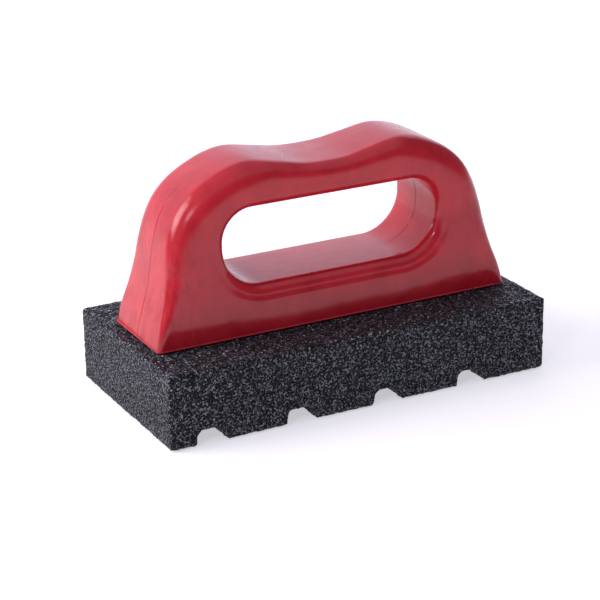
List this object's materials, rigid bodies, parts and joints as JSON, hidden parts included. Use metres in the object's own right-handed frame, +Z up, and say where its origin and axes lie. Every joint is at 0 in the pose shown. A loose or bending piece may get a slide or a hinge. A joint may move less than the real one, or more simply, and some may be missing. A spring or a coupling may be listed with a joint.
{
  "type": "rubbing brick",
  "caption": "Coarse black abrasive brick with cross flutes underneath and a closed two-part moulded handle bolted on top.",
  "frame": {"origin": "middle of the working face, the underside of the brick", "axes": "+X along the brick, +Y across it towards the rear half of the handle, +Z up to the grip"},
  "size_m": [0.2038, 0.102, 0.1204],
  "materials": {
    "abrasive": "coarse bonded silicon carbide grain",
    "handle_plastic": "glossy moulded red",
    "fastener_steel": "zinc plated",
    "washer_fibre": "vulcanised fibre"
  },
  "bodies": {
    "root": {"abrasive_brick": "abrasive", "handle_front_half": "handle_plastic", "handle_rear_half": "handle_plastic", "handle_bolt_left": "fastener_steel", "handle_bolt_right": "fastener_steel", "bolt_washer_left": "fastener_steel", "bolt_washer_right": "fastener_steel", "captive_nut_left": "fastener_steel", "captive_nut_right": "fastener_steel", "cushion_washer_left": "washer_fibre", "cushion_washer_right": "washer_fibre"}
  },
  "joints": []
}
